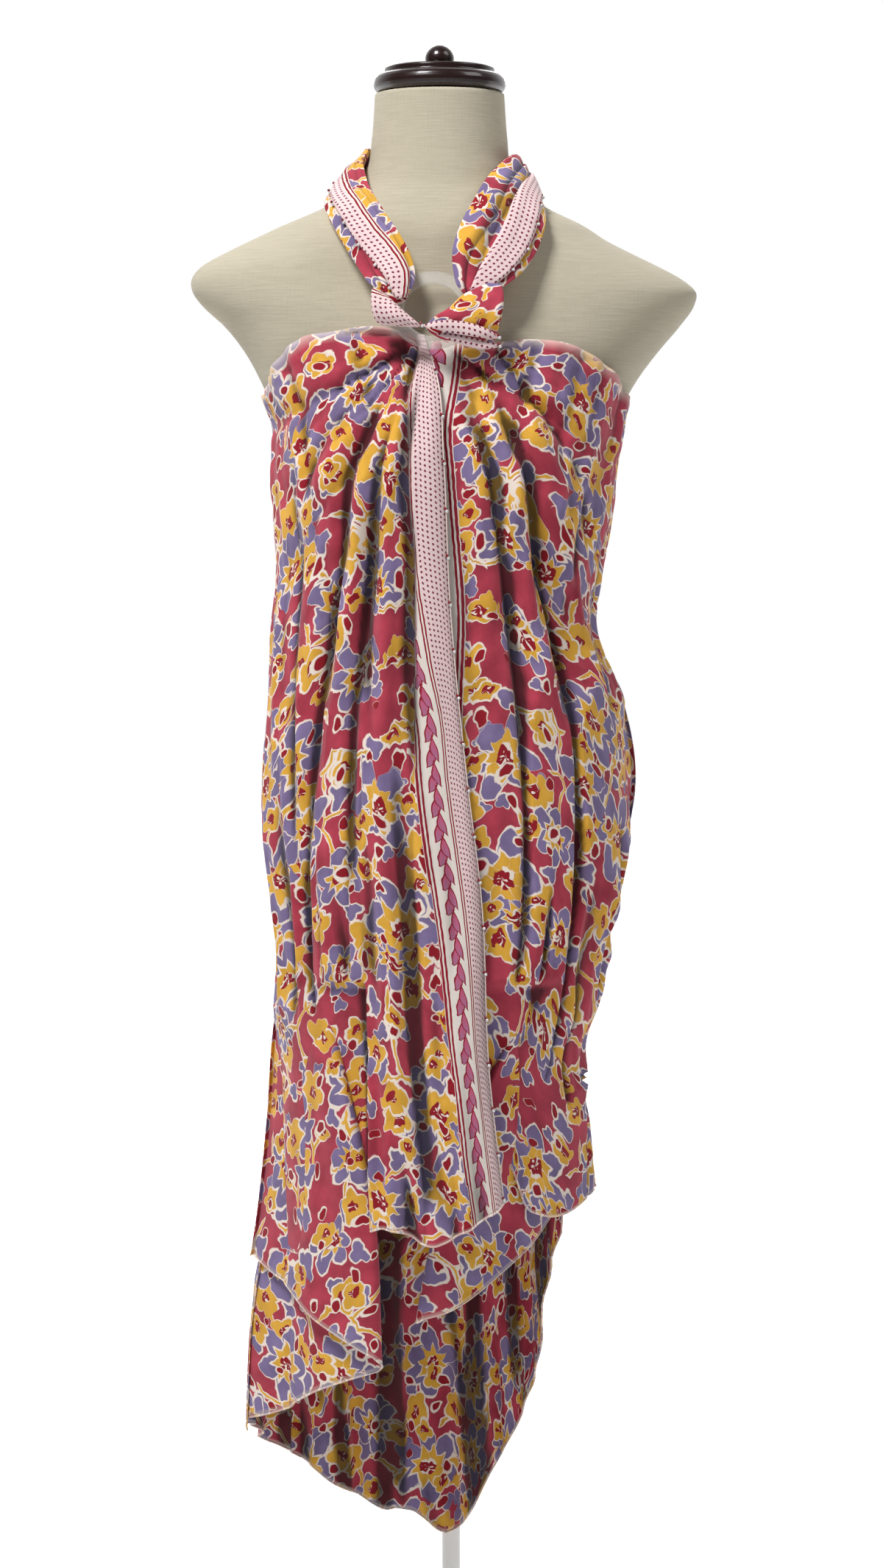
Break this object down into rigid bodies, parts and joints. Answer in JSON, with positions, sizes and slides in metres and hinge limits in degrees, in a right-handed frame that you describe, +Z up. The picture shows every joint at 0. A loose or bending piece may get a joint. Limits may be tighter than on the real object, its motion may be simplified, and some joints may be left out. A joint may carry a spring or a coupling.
{
  "type": "sarong on dress form",
  "caption": "Printed cotton sarong wound round a limbless linen dress form, its corners drawn past a ring and knotted behind the neck, on a round-based stand",
  "frame": {"origin": "middle of the base plate's underside, on the surface that the stand rests on", "axes": "+Z up, -Y the front of the garment, +X the viewer's right"},
  "size_m": [0.4035, 0.36, 1.6112],
  "materials": {
    "voile": "printed cotton voile, flowers in gold, lavender and cream on rose",
    "linen": "plain woven linen cover, matte",
    "wood": "turned wood, dark gloss lacquer",
    "stand": "white powder coat",
    "clear_ring": "clear polished resin"
  },
  "bodies": {
    "root": {"form_torso": "linen", "neck_cap": "wood", "cap_knob": "wood", "base_plate": "stand", "stand_pole": "stand", "stand_arm": "stand", "back_flange": "stand", "ring": "clear_ring", "sarong_left_front": "voile", "sarong_left_pleat": "voile", "sarong_back": "voile", "sarong_right_pleat": "voile", "sarong_right_front": "voile", "strap_left": "voile", "strap_right": "voile", "neck_knot": "voile", "tie_end_left": "voile", "tie_end_right": "voile", "lobe_left": "voile", "lobe_right": "voile"}
  },
  "joints": []
}
